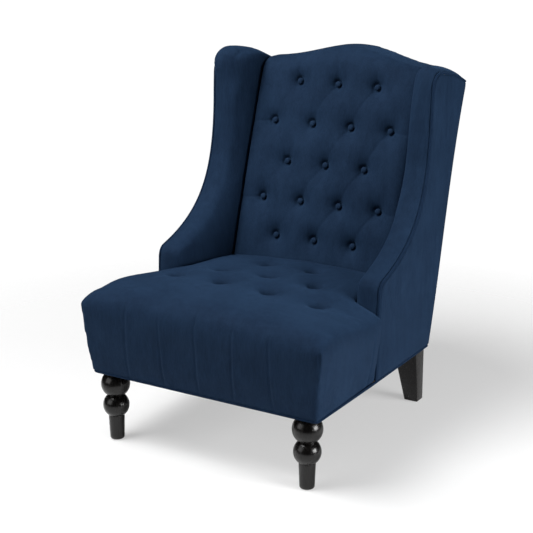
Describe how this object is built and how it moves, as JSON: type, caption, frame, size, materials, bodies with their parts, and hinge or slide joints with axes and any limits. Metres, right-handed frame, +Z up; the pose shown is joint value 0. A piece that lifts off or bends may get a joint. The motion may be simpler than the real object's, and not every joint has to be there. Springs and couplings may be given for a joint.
{
  "type": "tufted wing accent chair",
  "caption": "High-back wing chair with a button-tufted back, blind-tufted tight seat, scooped arms, turned front legs and raked square rear legs.",
  "frame": {"origin": "middle of the chair's footprint box, on the floor", "axes": "+Z up, the chair faces -Y, +X towards the sitter's left hand"},
  "size_m": [0.712, 0.8758, 0.985],
  "materials": {
    "navy_fabric": "matte brushed weave",
    "welt_fabric": "matte brushed weave",
    "foam": "matte",
    "beech": "sawn",
    "plywood": "sawn",
    "felt": "matte",
    "webbing": "matte",
    "dust_cloth": "matte",
    "espresso_wood": "satin lacquer",
    "steel": "satin",
    "glide_plastic": "matte"
  },
  "bodies": {
    "root": {"seat_front_rail": "beech", "seat_rail_left": "beech", "seat_rail_right": "beech", "seat_back_rail": "beech", "corner_block_front_left": "beech", "corner_block_front_right": "beech", "corner_block_rear_left": "beech", "corner_block_rear_right": "beech", "corner_block_screws": "steel", "back_post_left": "beech", "back_post_right": "beech", "crest_rail": "beech", "back_lower_rail": "beech", "wing_frame_left": "plywood", "wing_frame_right": "plywood", "arm_post_left": "beech", "arm_post_right": "beech", "seat_springs": "steel", "spring_clips": "steel", "seat_insulator": "felt", "back_webbing": "webbing", "back_insulator": "felt", "seat_foam": "foam", "seat_cover": "navy_fabric", "seat_tuft_ties": "webbing", "back_foam": "foam", "back_cover": "navy_fabric", "back_buttons": "navy_fabric", "back_button_ties": "webbing", "wing_foam_left": "foam", "wing_foam_right": "foam", "wing_cover_left": "navy_fabric", "wing_cover_right": "navy_fabric", "side_panel_left": "navy_fabric", "side_panel_right": "navy_fabric", "outside_back_panel": "navy_fabric", "side_welt_left": "welt_fabric", "side_welt_right": "welt_fabric", "base_welt": "welt_fabric", "dust_cover": "dust_cloth", "dust_cover_staples": "steel", "front_leg_left": "espresso_wood", "front_leg_right": "espresso_wood", "rear_leg_left": "espresso_wood", "rear_leg_right": "espresso_wood", "leg_hanger_bolts": "steel", "leg_tee_nuts": "steel", "leg_glides": "glide_plastic"}
  },
  "joints": []
}
